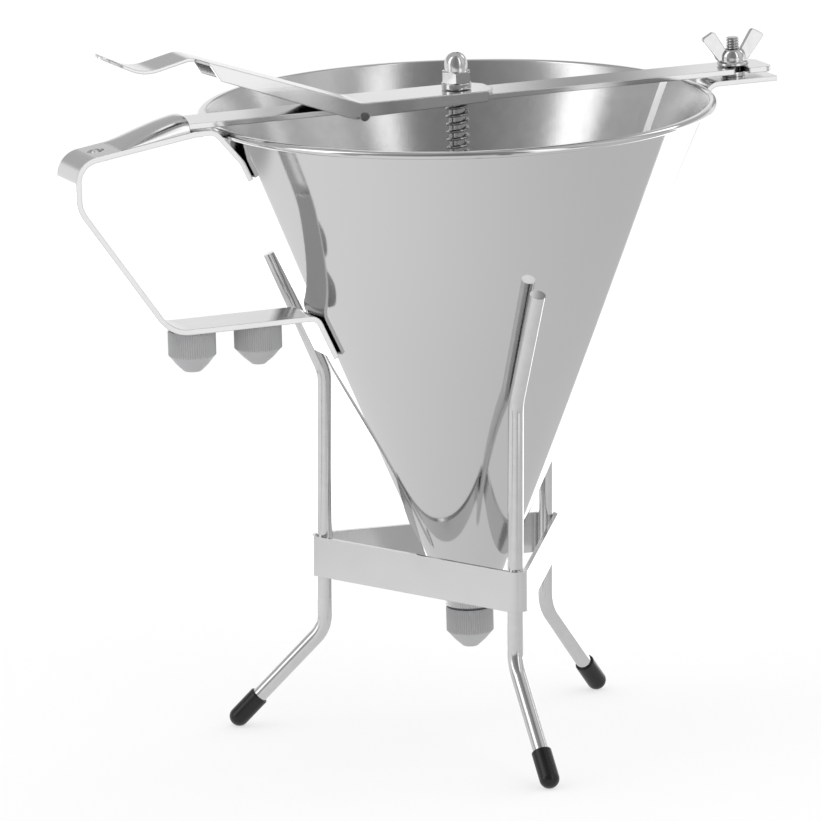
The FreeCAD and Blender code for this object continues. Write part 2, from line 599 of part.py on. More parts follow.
def bar_hood():
    """Wedge-shaped hood on the strap that holds the cross-bar's end down."""
    body = body_named("bar_hood", handle_side())
    floor_mouth = f"({ARM_TOP} - hood_set_back * arm_fall + weld_gap)"
    floor_tail = f"({floor_mouth} - hood_length * arm_fall)"
    roof_fall = f"(({HOOD_TOP} - {floor_tail}) / hood_length)"
    sketch = trace(sketch_on(body, "XZ_Plane"), [
        (HOOD_MOUTH, floor_mouth),
        (HOOD_TAIL, floor_tail),
        (HOOD_MOUTH, HOOD_TOP),
    ])
    padded(body, sketch, "hood_width", Midplane=True)
    high = num(HOOD_TOP)

    def roof_edge(edge):
        ends = [vertex.Point for vertex in edge.Vertexes]
        level = abs(ends[0].y - ends[1].y) < 1e-6
        sloped = abs(ends[0].z - ends[1].z) > 1 and abs(ends[0].x - ends[1].x) > 1
        return level and sloped and max(end.z for end in ends) > high - 0.01
    softened(body, "hood_round", roof_edge)
    sheet = "hood_sheet"
    hollow = "(hood_length * hood_hollow)"
    outside = f"({HOOD_MOUTH} - {sheet})"
    inner_tail = f"({HOOD_MOUTH} + {hollow})"
    sketch = trace(sketch_on(body, "XZ_Plane"), [
        (outside, f"{floor_mouth} - {sheet}"),
        (inner_tail, f"{floor_tail} - {sheet}"),
        (inner_tail, f"{HOOD_TOP} - {sheet} - {hollow} * {roof_fall}"),
        (outside, f"{HOOD_TOP} - {sheet} + {sheet} * {roof_fall}"),
    ])
    cut(body, sketch, f"hood_width - 2 * {sheet}", Midplane=True)

    def inner_edge(edge):
        ends = [vertex.Point for vertex in edge.Vertexes]
        side = abs(abs(ends[0].y) - num(f"hood_width / 2 - {sheet}")) < 1e-6
        along = abs(ends[0].y - ends[1].y) < 1e-6 and abs(ends[0].x - ends[1].x) > num(hollow) / 2
        return side and along and max(end.z for end in ends) > high - num("hood_round")
    softened(body, f"hood_round - {sheet}", inner_edge)


def clamp_bracket():
    """Strap bracket on the far side of the rim, which carries the clamp stud."""
    body = body_named("clamp_bracket", leaned(num("handle_angle") + 180))
    off_cone = f"((bracket_sheet / 2 + weld_gap) / {CONE_COS})"
    path = [
        (f"{cone_at(TAB_END)} + {off_cone}", TAB_END),
        (f"{cone_at(TAB_LEAVE)} + {off_cone}", TAB_LEAVE, "crest_bend"),
        (CREST_START, BRACKET_HEIGHT, "crest_bend"),
        (f"{STUD_REACH} + bracket_past_stud", BRACKET_HEIGHT),
    ]
    swept(body, path, lambda section: rectangle(section, "strap_width", "bracket_sheet"))


def clamp_stud():
    body = body_named("clamp_stud", handle_side(-num(STUD_REACH)))
    revolved(body, [
        ("0", f"{BRACKET_TOP} + weld_gap"),
        ("stud_radius", f"{BRACKET_TOP} + weld_gap"),
        ("stud_radius", f"{STUD_TOP} - soft_round"),
        ("stud_radius - soft_round", STUD_TOP),
        ("0", STUD_TOP),
    ])


def spacer_washer():
    body = body_named("spacer_washer", handle_side(-num(STUD_REACH)))
    low, high = f"{BRACKET_TOP} + weld_gap", f"{BAR_UNDER} - weld_gap"
    revolved(body, [
        ("stud_radius + weld_gap", low),
        ("washer_radius", low),
        ("washer_radius", high),
        ("stud_radius + weld_gap", high),
    ])


def cross_bar():
    """Flat bar across the funnel: hole for the valve rod, and a side notch for the clamp stud."""
    body = body_named("cross_bar", handle_side())
    sketch = sketch_on(body, "XY_Plane", Placement(Vector(0, 0, num(BAR_UNDER)), Rotation()))
    sketch.setExpression(".AttachmentOffset.Base.z", bound(BAR_UNDER))
    notch = "(stud_radius + notch_gap)"
    edge = "bar_width / 2"
    near_end = f"({HOOD_MOUTH} + bar_in_hood)"
    far_end = f"(0 - {STUD_REACH} - bar_past_stud)"
    trace(sketch, [
        (far_end, f"-{edge}", "bar_corner"),
        (near_end, f"-{edge}", "bar_corner"),
        (near_end, edge, "bar_corner"),
        (f"{notch} - {STUD_REACH}", edge, "soft_round"),
        (f"{notch} - {STUD_REACH}", f"-{notch}", f"{notch} * full_round"),
        (f"-{notch} - {STUD_REACH}", f"-{notch}", f"{notch} * full_round"),
        (f"-{notch} - {STUD_REACH}", edge, "soft_round"),
        (far_end, edge, "bar_corner"),
    ])
    circle(sketch, "valve_rod_radius + rod_hole_gap")
    padded(body, sketch, "bar_sheet")


def pivot_knuckle():
    """Small block welded under the cross-bar, bored for the lever's pin."""
    body = body_named("pivot_knuckle", handle_side())
    sketch = sketch_on(body, "XZ_Plane")
    rectangle(sketch, "knuckle_length", "knuckle_tall - weld_gap", "pin_reach",
              f"{BAR_UNDER} - (knuckle_tall + weld_gap) / 2")
    circle(sketch, "pin_radius + thread_gap", "pin_reach", PIN_HEIGHT)
    padded(body, sketch, "knuckle_width", Midplane=True)


def nozzle_peg(name, reach):
    """Threaded peg below the strap for a spare nozzle."""
    body = body_named(name, handle_side(num(reach)))
    top = f"{SHELF_UNDER} - weld_gap"
    revolved(body, [
        ("0", f"{top} - peg_length"),
        ("neck_radius", f"{top} - peg_length", "soft_round"),
        ("neck_radius", top),
        ("0", top),
    ])


# The lever.
def lever():
    """Pressed lever: flat plate with two flanges over the cross-bar, and a waved thumb rest."""
    body = body_named("lever", handle_side())
    crest = f"({LEVER_MIDDLE} + lever_arm * arm_rise)"
    dip = f"({crest} - thumb_dip_fall)"
    outside = f"({LEVER_INSIDE} + lever_sheet)"
    path = [
        ("-lever_right", LEVER_MIDDLE),
        (ELBOW, LEVER_MIDDLE, "elbow_bend"),
        (THUMB_CREST, crest, "thumb_crest_bend"),
        (THUMB_DIP, dip, "thumb_dip_bend"),
        (THUMB_TIP, f"{dip} + thumb_tip_rise"),
    ]
    swept(body, path, lambda section: rectangle(section, f"{outside} * 2", "lever_sheet"))

    # One flange, seen from the side, then its mirror image.
    plane = sketch_on(body, "XZ_Plane", Placement(Vector(0, 0, num(LEVER_INSIDE)), Rotation()))
    plane.setExpression(".AttachmentOffset.Base.z", bound(LEVER_INSIDE))
    under = f"({LEVER_MIDDLE} - lever_sheet / 2)"
    arm_angle_cos = "(1 / sqrt(1 + arm_rise * arm_rise))"
    arm_at_start = f"({LEVER_MIDDLE} + (lever_arm - cheek_short) * arm_rise)"
    deep_at_start = f"(cheek_start_deep + lever_sheet / 2) / {arm_angle_cos}"
    rest = "(cheek_start_deep * full_round)"
    trace(plane, [
        ("-lever_cheek_end", LEVER_MIDDLE),
        ("-lever_cheek_end", f"{under} - cheek_deep_end", "soft_round"),
        (f"{ELBOW} - cheek_flat_in", f"{under} - cheek_deep"),
        (f"{ELBOW} + cheek_flat_out", f"{under} - cheek_deep", "cheek_round"),
        (CHEEK_START, f"{arm_at_start} - {deep_at_start}", "soft_round"),
        (f"{CHEEK_START} + {rest}", f"{arm_at_start} + {rest} * arm_rise"),
        (ELBOW, LEVER_MIDDLE, "elbow_bend"),
    ])
    flange = padded(body, plane, "lever_sheet")
    ear = sketch_on(body, "XZ_Plane", Placement(Vector(0, 0, num(LEVER_INSIDE)), Rotation()))
    ear.setExpression(".AttachmentOffset.Base.z", bound(LEVER_INSIDE))
    circle(ear, "ear_radius", "pin_reach", PIN_HEIGHT)
    lobe = padded(body, ear, "lever_sheet")
    mirror = body.newObject("PartDesign::Mirrored", "other_flange")
    mirror.Originals = [flange, lobe]
    planes = {part.Role: part for part in body.Origin.OriginFeatures}
    mirror.MirrorPlane = (planes["XZ_Plane"], [""])
    body.Tip = mirror
    doc.recompute()

    # Pin holes through both flanges, the slot for the valve rod, and the plan outline.
    holes = circle(sketch_on(body, "XZ_Plane"), "pin_radius + weld_gap / 2", "pin_reach", PIN_HEIGHT)
    cut_through(body, holes)
    slot_end = "slot_width / 2 * full_round"
    slot = trace(sketch_on(body, "XY_Plane"), [
        ("-slot_length / 2 - slot_shift", "-slot_width / 2", slot_end),
        ("slot_length / 2 - slot_shift", "-slot_width / 2", slot_end),
        ("slot_length / 2 - slot_shift", "slot_width / 2", slot_end),
        ("-slot_length / 2 - slot_shift", "slot_width / 2", slot_end),
    ])
    cut_through(body, slot)
    wide = f"{outside} + 2"
    neck = f"{CHEEK_START} + cheek_start_deep"
    for side in ("1", "-1"):
        trim = trace(sketch_on(body, "XY_Plane"), [
            (neck, f"{side} * ({wide})"),
            (neck, f"{side} * {outside}"),
            (f"{neck} + 4", f"{side} * thumb_width / 2", "5"),
            (THUMB_TIP, f"{side} * thumb_width / 2", "thumb_width * 0.45"),
            (THUMB_TIP, f"{side} * thumb_width * 0.02"),
            (f"{THUMB_TIP} + 3", f"{side} * thumb_width * 0.02"),
            (f"{THUMB_TIP} + 3", f"{side} * ({wide})"),
        ])
        cut_through(body, trim)
        corner = trace(sketch_on(body, "XY_Plane"), [
            ("-lever_cheek_end", f"{side} * ({wide})"),
            ("-lever_cheek_end", f"{side} * {outside}"),
            ("-lever_right", f"{side} * {outside} * 0.45"),
            ("-lever_right - 1", f"{side} * {outside} * 0.45"),
            ("-lever_right - 1", f"{side} * ({wide})"),
        ])
        cut_through(body, corner)


def pivot_pin():
    """Headed pin through the lever's flanges and the knuckle."""
    across = Rotation(Vector(0, 0, 1), Vector(0, 1, 0))
    spot = Placement(Vector(num("pin_reach"), 0, num(PIN_HEIGHT)), across)
    body = body_named("pivot_pin", handle_side() * spot)
    shoulder = f"({LEVER_INSIDE} + lever_sheet + weld_gap)"
    end = f"({shoulder} + pin_head_tall)"
    revolved(body, [
        ("0", f"-{end}"),
        ("pin_head", f"-{end}", "pin_head_tall * 0.6"),
        ("pin_head", f"-{shoulder}"),
        ("pin_radius", f"-{shoulder}"),
        ("pin_radius", shoulder),
        ("pin_head", shoulder),
        ("pin_head", end, "pin_head_tall * 0.6"),
        ("0", end),
    ])


# The valve.
def valve_rod():
    body = body_named("valve_rod", leaned())
    revolved(body, [
        ("0", f"{PLUG_TOP} + weld_gap"),
        ("valve_rod_radius", f"{PLUG_TOP} + weld_gap"),
        ("valve_rod_radius", f"{ROD_TIP} - soft_round"),
        ("valve_rod_radius - soft_round", ROD_TIP),
        ("0", ROD_TIP),
    ])


def valve_plug():
    """Rubber plug with the slope of its seat."""
    body = body_named("valve_plug", leaned())

    def reach(height):
        return f"outlet_bore - plug_seat_gap + ({height} - {SEAT_LOW}) * cone_slope"
    revolved(body, [
        ("0", PLUG_LOW),
        (reach(PLUG_LOW), PLUG_LOW, "soft_round"),
        (reach(PLUG_TOP), PLUG_TOP, "fine_round"),
        ("0", PLUG_TOP),
    ])


def spring_stop():
    body = body_named("spring_stop", leaned())
    revolved(body, [
        ("valve_rod_radius + weld_gap", f"{STOP_TOP} - stop_tall"),
        ("stop_radius", f"{STOP_TOP} - stop_tall", "fine_round"),
        ("stop_radius", STOP_TOP),
        ("valve_rod_radius + weld_gap", STOP_TOP),
    ])


def nut_disc():
    body = body_named("nut_washer", leaned())
    revolved(body, [
        ("valve_rod_radius + weld_gap", DISC_LOW),
        ("disc_radius", DISC_LOW, "fine_round"),
        ("disc_radius", f"{NUT_LOW} - weld_gap", "fine_round"),
        ("valve_rod_radius + weld_gap", f"{NUT_LOW} - weld_gap"),
    ])


def cap_nut():
    """Domed hexagon nut on the upper end of the valve rod."""
    body = body_named("cap_nut", leaned(num("nut_turn")))
    sketch = sketch_on(body, "XY_Plane", Placement(Vector(0, 0, num(NUT_LOW)), Rotation()))
    sketch.setExpression(".AttachmentOffset.Base.z", bound(NUT_LOW))
    corner = "(nut_flats / sqrt(3))"
    trace(sketch, [
        (corner, "0"), (f"{corner} / 2", "nut_flats / 2"), (f"-{corner} / 2", "nut_flats / 2"),
        (f"-{corner}", "0"), (f"-{corner} / 2", "-nut_flats / 2"), (f"{corner} / 2", "-nut_flats / 2"),
    ])
    padded(body, sketch, "nut_tall")
    dome_low = f"({NUT_LOW} + nut_tall)"
    profile = trace(sketch_on(body, "XZ_Plane"), [
        ("0", f"{dome_low} - soft_round"),
        ("dome_radius", f"{dome_low} - soft_round"),
        ("dome_radius", f"{dome_low} + dome_tall", "dome_radius * full_round"),
        ("0", f"{dome_low} + dome_tall"),
    ])
    feature(body, "Revolution", profile, ReferenceAxis=(profile, ["V_Axis"]), Angle=360.0)
    bore = sketch_on(body, "XY_Plane", Placement(Vector(0, 0, num(NUT_LOW)), Rotation()))
    bore.setExpression(".AttachmentOffset.Base.z", bound(NUT_LOW))
    circle(bore, "valve_rod_radius + weld_gap")
    cut(body, bore, "rod_in_nut + nut_end_gap", Reversed=True)


def wing_nut():
    """Wing nut on the clamp stud; the wings stand in the cross-bar's own plane."""
    body = body_named("wing_nut", handle_side(-num(STUD_REACH)))
    low = f"({BAR_TOP} + piece_gap)"
    bore = "(stud_radius + thread_gap)"
    revolved(body, [
        (bore, low),
        ("wing_flange", low, "fine_round"),
        ("wing_flange", f"{low} + wing_flange_tall", "fine_round"),
        ("wing_hub", f"{low} + wing_flange_tall + fine_round"),
        ("wing_hub - hub_taper", f"{low} + wing_hub_tall", "soft_round"),
        (bore, f"{low} + wing_hub_tall"),
    ])
    root = f"({bore} + wing_root)"
    for side in ("1", "-1"):
        ear = trace(sketch_on(body, "XZ_Plane"), [
            (f"{side} * {root}", f"{low} + wing_low"),
            (f"{side} * (wing_hub + wing_foot)", f"{low} + wing_low", "wing_curl"),
            (f"{side} * wing_span", f"{low} + wing_bulge", "wing_curve"),
            (f"{side} * (wing_span - wing_slant)", f"{low} + wing_tall", "wing_curve"),
            (f"{side} * (wing_hub + wing_apart)", f"{low} + wing_tall", "wing_curl"),
            (f"{side} * (wing_hub - wing_bite)", f"{low} + wing_hub_tall - soft_round"),
            (f"{side} * {root}", f"{low} + wing_hub_tall - soft_round"),
        ])
        padded(body, ear, "wing_sheet", Midplane=True)


def helix_edges(radius, low, pitches):
    """A helix as pairs of tangent arcs, four pairs to a turn, from a list of quarter-turn rises."""
    heights = [low]
    for rise in pitches:
        heights.append(heights[-1] + rise)
    slopes = [pitches[0]] + [(a + b) / 2 for a, b in zip(pitches, pitches[1:])] + [pitches[-1]]
    spots, aims = [], []
    for step, (height, rise) in enumerate(zip(heights, slopes)):
        turn = step * math.pi / 2
        spots.append(Vector(radius * math.cos(turn), radius * math.sin(turn), height))
        along = Vector(-math.sin(turn), math.cos(turn), rise / (radius * math.pi / 2))
        aims.append(along.normalize())
    edges = []
    for start, stop, aim, last in zip(spots, spots[1:], aims, aims[1:]):
        gap = stop - start
        square = 2 - 2 * aim.dot(last)
        linear = 2 * gap.dot(aim + last)
        reach = (-linear + math.sqrt(linear ** 2 + 4 * square * gap.dot(gap))) / (2 * square)
        knee_a, knee_b = start + aim * reach, stop - last * reach
        joint = (knee_a + knee_b) / 2
        for a, knee, b in ((start, knee_a, joint), (joint, knee_b, stop)):
            chord_middle = (a + b) / 2
            bulge = knee - chord_middle
            half = (b - a).Length / 2
            sag = half * math.tan(math.atan(bulge.Length / half) / 2)
            edges.append(Part.Arc(a, chord_middle + bulge.normalize() * sag, b).toShape())
    return edges


def valve_spring():
    """Coil spring of one unbroken wire, with a closed turn at each end."""
    wire, radius = num("spring_wire"), num("spring_radius")
    closed, turns = num("spring_end_pitch"), int(num("spring_turns"))
    opened = (num("spring_length") - wire - 2 * closed) / turns
    rises = [closed / 4] * 4 + [opened / 4] * (4 * turns) + [closed / 4] * 4
    path = Part.Wire(helix_edges(radius, num(SPRING_LOW) + wire / 2, rises))
    first = path.Edges[0]
    start, aim = first.valueAt(first.FirstParameter), first.tangentAt(first.FirstParameter)
    ring = Part.Wire(Part.Circle(start, aim, wire / 2).toShape())
    spring = doc.addObject("Part::Feature", "valve_spring")
    spring.Label = "valve_spring"
    spring.Shape = path.makePipeShell([ring], True, False)
    spring.Placement = leaned()
    SUB_PARTS.append(spring)
    points = path.discretize(Number=80 * (turns + 2))
    apart = 40
    least = min((a - b).Length for i, a in enumerate(points) for b in points[i + apart:])
    print(f"valve spring: least gap between turns {least - wire:.2f} mm")


def build_all():
    for index, place in enumerate(("left", "front", "right")):
        angle = num("first_rod_angle") + 120 * index
        stand_rod(f"stand_rod_{place}", angle)
        foot_cap(f"foot_cap_{place}", angle)
    stand_band()
    funnel_cone()
    outlet_collar()
    sealing_ring()
    nozzle("nozzle_mounted", leaned() * Placement(Vector(0, 0, num(NOZZLE_TOP)), Rotation()),
           "middle_tip", "middle_bore")
    handle_strap()
    bar_hood()
    clamp_bracket()
    clamp_stud()
    spacer_washer()
    cross_bar()
    pivot_knuckle()
    spare_top = num(f"{SHELF_UNDER} - piece_gap")
    for name, reach, tip, bore in (("outer", OUTER_PEG, "large_tip", "large_bore"),
                                   ("inner", INNER_PEG, "small_tip", "small_bore")):
        nozzle_peg(f"nozzle_peg_{name}", reach)
        nozzle(f"spare_nozzle_{name}", handle_side(num(reach), spare_top), tip, bore)
    lever()
    pivot_pin()
    valve_rod()
    valve_plug()
    spring_stop()
    nut_disc()
    cap_nut()
    wing_nut()
    valve_spring()
    doc.recompute()


def check_and_export():
    for thing in doc.Objects:
        if "Invalid" in thing.State or "Error" in thing.State:
            raise RuntimeError(f"{thing.Name} failed: {thing.State}")
    os.makedirs("parts", exist_ok=True)
    for part in SUB_PARTS:
        shape = part.Shape
        if shape.isNull() or not shape.isValid() or not shape.Solids:
            raise RuntimeError(f"{part.Label} has no valid solid")
        shape.exportStep(f"parts/{part.Label}.step")
    print(len(SUB_PARTS), "sub-parts written")


build_all()
check_and_export()
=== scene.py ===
import math

import bmesh
import bpy
from mathutils import Matrix, Vector


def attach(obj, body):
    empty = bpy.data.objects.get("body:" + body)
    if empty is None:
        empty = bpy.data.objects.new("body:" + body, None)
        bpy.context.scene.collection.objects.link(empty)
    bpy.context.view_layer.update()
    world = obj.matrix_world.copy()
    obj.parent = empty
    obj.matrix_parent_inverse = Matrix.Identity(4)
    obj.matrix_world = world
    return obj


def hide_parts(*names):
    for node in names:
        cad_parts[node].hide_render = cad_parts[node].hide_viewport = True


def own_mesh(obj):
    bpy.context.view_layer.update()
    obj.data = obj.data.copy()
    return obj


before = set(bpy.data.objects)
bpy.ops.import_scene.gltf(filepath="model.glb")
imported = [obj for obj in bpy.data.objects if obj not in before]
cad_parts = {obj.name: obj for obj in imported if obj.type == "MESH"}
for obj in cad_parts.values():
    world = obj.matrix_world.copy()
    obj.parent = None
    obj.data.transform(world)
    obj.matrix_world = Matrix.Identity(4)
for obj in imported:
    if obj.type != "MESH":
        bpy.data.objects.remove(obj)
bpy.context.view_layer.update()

# Pancake batter dispenser in its wire stand. Metres, +Z up, floor at z = 0.
# The funnel's own frame: upright on the stand's axis, then leaned about a point on that axis.

MM = 0.001
LEAN = math.radians(1.5)
LEAN_POINT = Vector((0, 0, 0.160))
HANDLE = math.radians(202.5)
APEX, SLOPE = 34.0, 0.4539
RIM, SHEET, ROLL = 237.75, 1.1, 1.3
CONE_END = 50.5

TO_WORLD = Matrix.Translation(LEAN_POINT) @ Matrix.Rotation(-LEAN, 4, "Y") @ Matrix.Translation(-LEAN_POINT)
HANDLE_TO_WORLD = TO_WORLD @ Matrix.Rotation(HANDLE, 4, "Z")


# Node helpers.
class Shader:
    """A material's node tree, with short calls for its nodes."""

    def __init__(self, name):
        self.material = bpy.data.materials.new(name)
        self.material.use_nodes = True
        self.tree = self.material.node_tree
        self.bsdf = self.tree.nodes["Principled BSDF"]

    def node(self, kind, **settings):
        made = self.tree.nodes.new("ShaderNode" + kind)
        for key, value in settings.items():
            setattr(made, key, value)
        return made

    def link(self, source, target):
        self.tree.links.new(source, target)

    def put(self, target, value):
        if isinstance(value, bpy.types.NodeSocket):
            self.link(value, target)
        else:
            target.default_value = value

    def math(self, operation, a, b=0.0, clamp=False):
        made = self.node("Math", operation=operation, use_clamp=clamp)
        self.put(made.inputs[0], a)
        self.put(made.inputs[1], b)
        return made.outputs[0]

    def vector(self, operation, a, b):
        made = self.node("VectorMath", operation=operation)
        self.put(made.inputs[0], a)
        self.put(made.inputs[1], b)
        return made.outputs["Value" if operation in ("DOT_PRODUCT", "LENGTH") else "Vector"]

    def smooth(self, value, low, high, start=0.0, stop=1.0):
        made = self.node("MapRange", interpolation_type="SMOOTHSTEP")
        for key, number in zip(("Value", "From Min", "From Max", "To Min", "To Max"), (value, low, high, start, stop)):
            self.put(made.inputs[key], number)
        return made.outputs["Result"]

    def noise(self, vector, scale, detail=2.0, roughness=0.5, dimensions="3D"):
        made = self.node("TexNoise", noise_dimensions=dimensions)
        self.put(made.inputs["Vector"], vector)
        made.inputs["Scale"].default_value = scale
        made.inputs["Detail"].default_value = detail
        made.inputs["Roughness"].default_value = roughness
        return made.outputs["Fac"]

    def place(self):
        return self.node("TexCoord").outputs["Object"]

    def stretched(self, scale, rotation=(0, 0, 0)):
        """Object coordinates, turned and then scaled."""
        turned = self.node("VectorRotate", rotation_type="EULER_XYZ")
        self.link(self.place(), turned.inputs["Vector"])
        turned.inputs["Rotation"].default_value = rotation
        return self.vector("MULTIPLY", turned.outputs["Vector"], scale)

    def funnel_place(self):
        """Height, radius and direction in the funnel's own frame, in metres and radians."""
        local = self.vector("SUBTRACT", self.place(), tuple(LEAN_POINT))
        turned = self.node("VectorRotate", rotation_type="Y_AXIS")
        self.link(local, turned.inputs["Vector"])
        turned.inputs["Angle"].default_value = LEAN
        parts = self.node("SeparateXYZ")
        self.link(turned.outputs["Vector"], parts.inputs[0])
        x, y, z = parts.outputs
        flat = self.vector("MULTIPLY", turned.outputs["Vector"], (1, 1, 0))
        return self.math("ADD", z, LEAN_POINT.z), self.vector("LENGTH", flat, (0, 0, 0)), self.math("ARCTAN2", y, x)

    def ramp(self, value, low, high):
        """Mixes two greys or colours by a value from 0 to 1."""
        made = self.node("Mix", data_type="RGBA")
        self.put(made.inputs[0], value)
        made.inputs[6].default_value = (*low, 1)
        made.inputs[7].default_value = (*high, 1)
        return made.outputs[2]

    def bump(self, height, distance, strength=1.0, normal=None):
        made = self.node("Bump")
        self.link(height, made.inputs["Height"])
        made.inputs["Distance"].default_value = distance
        made.inputs["Strength"].default_value = strength
        if normal is not None:
            self.link(normal, made.inputs["Normal"])
        return made.outputs["Normal"]

    def soft_edges(self, radius):
        made = self.node("Bevel", samples=4)
        made.inputs["Radius"].default_value = radius
        return made.outputs["Normal"]

    def finish(self, color, roughness, normal=None, **sockets):
        self.put(self.bsdf.inputs["Base Color"], color if isinstance(color, bpy.types.NodeSocket) else (*color, 1))
        self.put(self.bsdf.inputs["Roughness"], roughness)
        if normal is not None:
            self.link(normal, self.bsdf.inputs["Normal"])
        for key, value in sockets.items():
            self.bsdf.inputs[key.replace("_", " ")].default_value = value
        return self.material


# Materials.
def polished_sheet():
    """Outside of the funnel: rolled sheet, polished, with the faintest grain round it."""
    s = Shader("polished_sheet")
    height, radius, direction = s.funnel_place()
    grain = s.node("CombineXYZ")
    s.link(s.math("MULTIPLY", direction, 0.05), grain.inputs[0])
    s.link(height, grain.inputs[1])
    fine = s.noise(grain.outputs[0], 2600, 3)
    wide = s.noise(s.place(), 9, 1)
    rough = s.math("ADD", s.math("MULTIPLY", fine, 0.04), 0.045)
    color = s.ramp(wide, (0.605,) * 3, (0.64,) * 3)
    return s.finish(color, rough, s.bump(fine, 0.000004), Metallic=1.0)


def brushed_inside():
    """Inside of the funnel: brushed round and round, with the seam of the rolled sheet."""
    s = Shader("brushed_inside")
    height, radius, direction = s.funnel_place()
    grain = s.node("CombineXYZ")
    s.link(s.math("MULTIPLY", direction, 0.09), grain.inputs[0])
    s.link(height, grain.inputs[1])
    lines = s.noise(grain.outputs[0], 1500, 6, 0.7)
    broad = s.noise(grain.outputs[0], 190, 3, 0.6)
    rough = s.math("ADD", s.math("MULTIPLY", lines, 0.14), 0.17)
    color = s.ramp(broad, (0.55,) * 3, (0.67,) * 3)
    off_seam = s.math("MULTIPLY", s.math("ABSOLUTE", s.math("SUBTRACT", direction, math.radians(31.6))), radius)
    seam = s.smooth(off_seam, 0.0019, 0.0024, 1.0, 0.0)
    bright = s.node("Mix", data_type="RGBA")
    s.link(seam, bright.inputs[0])
    s.link(color, bright.inputs[6])
    bright.inputs[7].default_value = (0.95, 0.95, 0.95, 1)
    s.link(s.math("SUBTRACT", 1.0, s.math("MULTIPLY", seam, 0.8)), s.bsdf.inputs["Metallic"])
    tangent = s.node("Tangent", direction_type="RADIAL", axis="Z")
    s.link(tangent.outputs[0], s.bsdf.inputs["Tangent"])
    grooved = s.bump(lines, 0.00003, 0.8)
    return s.finish(bright.outputs[2], rough, s.bump(seam, 0.00005, 0.5, grooved), Anisotropic=0.95,
                    Anisotropic_Rotation=0.25)


def strap_steel(name, along=(1, 0, 0), base=0.66, roughness=0.13, edge=0.0004):
    """Flat steel strip, ground lengthwise and polished, with soft edges."""
    s = Shader(name)
    aim = Vector(along).normalized()
    turn = math.atan2(aim.y, aim.x)
    flow = s.stretched((14, 420, 420), (0, 0, -turn))
    lines = s.noise(flow, 4.0, 4, 0.65)
    cloud = s.noise(s.place(), 30, 2)
    rough = s.math("ADD", s.math("MULTIPLY", lines, 0.10), roughness - 0.05)
    color = s.ramp(cloud, (base - 0.05,) * 3, (base + 0.03,) * 3)
    return s.finish(color, rough, s.bump(lines, 0.00001, 0.5, s.soft_edges(edge)), Metallic=1.0)


def rod_steel():
    """Drawn wire rod with a bright finish and faint lengthwise marks."""
    s = Shader("rod_steel")
    lines = s.noise(s.stretched((700, 700, 22)), 1.6, 3, 0.6)
    spots = s.noise(s.place(), 260, 2)
    rough = s.math("ADD", s.math("MULTIPLY", lines, 0.10), 0.10)
    color = s.ramp(spots, (0.60,) * 3, (0.68,) * 3)
    return s.finish(color, rough, s.bump(lines, 0.000012, 0.6), Metallic=1.0)


def band_steel():
    """The stand's band: strip brushed round the stand."""
    s = Shader("band_steel")
    lines = s.noise(s.stretched((26, 26, 1700)), 2.2, 4, 0.7)
    cloud = s.noise(s.place(), 40, 2)
    rough = s.math("ADD", s.math("MULTIPLY", lines, 0.14), 0.12)
    color = s.ramp(cloud, (0.62,) * 3, (0.70,) * 3)
    return s.finish(color, rough, s.bump(lines, 0.00001, 0.6, s.soft_edges(0.0003)), Metallic=1.0)


def hardware_chrome():
    """Nuts, washers and pins: bright plating with soft edges."""
    s = Shader("hardware_chrome")
    cloud = s.noise(s.place(), 400, 2)
    rough = s.math("ADD", s.math("MULTIPLY", cloud, 0.06), 0.06)
    color = s.ramp(cloud, (0.58,) * 3, (0.70,) * 3)
    return s.finish(color, rough, s.soft_edges(0.00025), Metallic=1.0)


def spring_steel():
    s = Shader("spring_steel")
    marks = s.noise(s.place(), 900, 3)
    rough = s.math("ADD", s.math("MULTIPLY", marks, 0.15), 0.14)
    color = s.ramp(marks, (0.42,) * 3, (0.60,) * 3)
    return s.finish(color, rough, s.bump(marks, 0.00001), Metallic=1.0)


def black_rubber():
    """Dipped rubber caps: nearly black, with a soft shine and faint mould grain."""
    s = Shader("black_rubber")
    grain = s.noise(s.place(), 1500, 3)
    cloud = s.noise(s.place(), 120, 2)
    rough = s.math("ADD", s.math("MULTIPLY", cloud, 0.16), 0.20)
    color = s.ramp(cloud, (0.004,) * 3, (0.009,) * 3)
    return s.finish(color, rough, s.bump(grain, 0.00002, 0.5), Specular_IOR_Level=0.38)


def grey_plastic(name="grey_plastic", base=0.33):
    """Moulded nozzle plastic: matte mid grey."""
    s = Shader(name)
    grain = s.noise(s.place(), 2200, 3)
    cloud = s.noise(s.place(), 90, 2)
    rough = s.math("ADD", s.math("MULTIPLY", cloud, 0.12), 0.45)
    color = s.ramp(cloud, (base - 0.02, base - 0.018, base - 0.014), (base + 0.02, base + 0.022, base + 0.026))
    return s.finish(color, rough, s.bump(grain, 0.00002, 0.5), Specular_IOR_Level=0.4)


def knurled_collar():
    """Outlet collar: fine straight knurl on its outside."""
    s = Shader("knurled_collar")
    height, radius, direction = s.funnel_place()
    wave = s.math("SINE", s.math("MULTIPLY", direction, 64.0))
    outside = s.smooth(radius, 0.0086, 0.0089)
    knurl = s.math("MULTIPLY", wave, outside)
    return s.finish((0.62, 0.62, 0.625), 0.3, s.bump(knurl, 0.0002, 1.0), Metallic=1.0)


# Modelling helpers. Each piece starts as a primitive and is shaped in edit mode; sizes are in mm.
def begin(kind, **settings):
    """Adds a primitive with nothing else selected, and opens it in edit mode."""
    bpy.ops.object.select_all(action="DESELECT")
    getattr(bpy.ops.mesh, f"primitive_{kind}_add")(**settings)
    bpy.ops.object.mode_set(mode="EDIT")
    bpy.ops.mesh.select_mode(type="VERT")
    bpy.ops.mesh.select_all(action="SELECT")


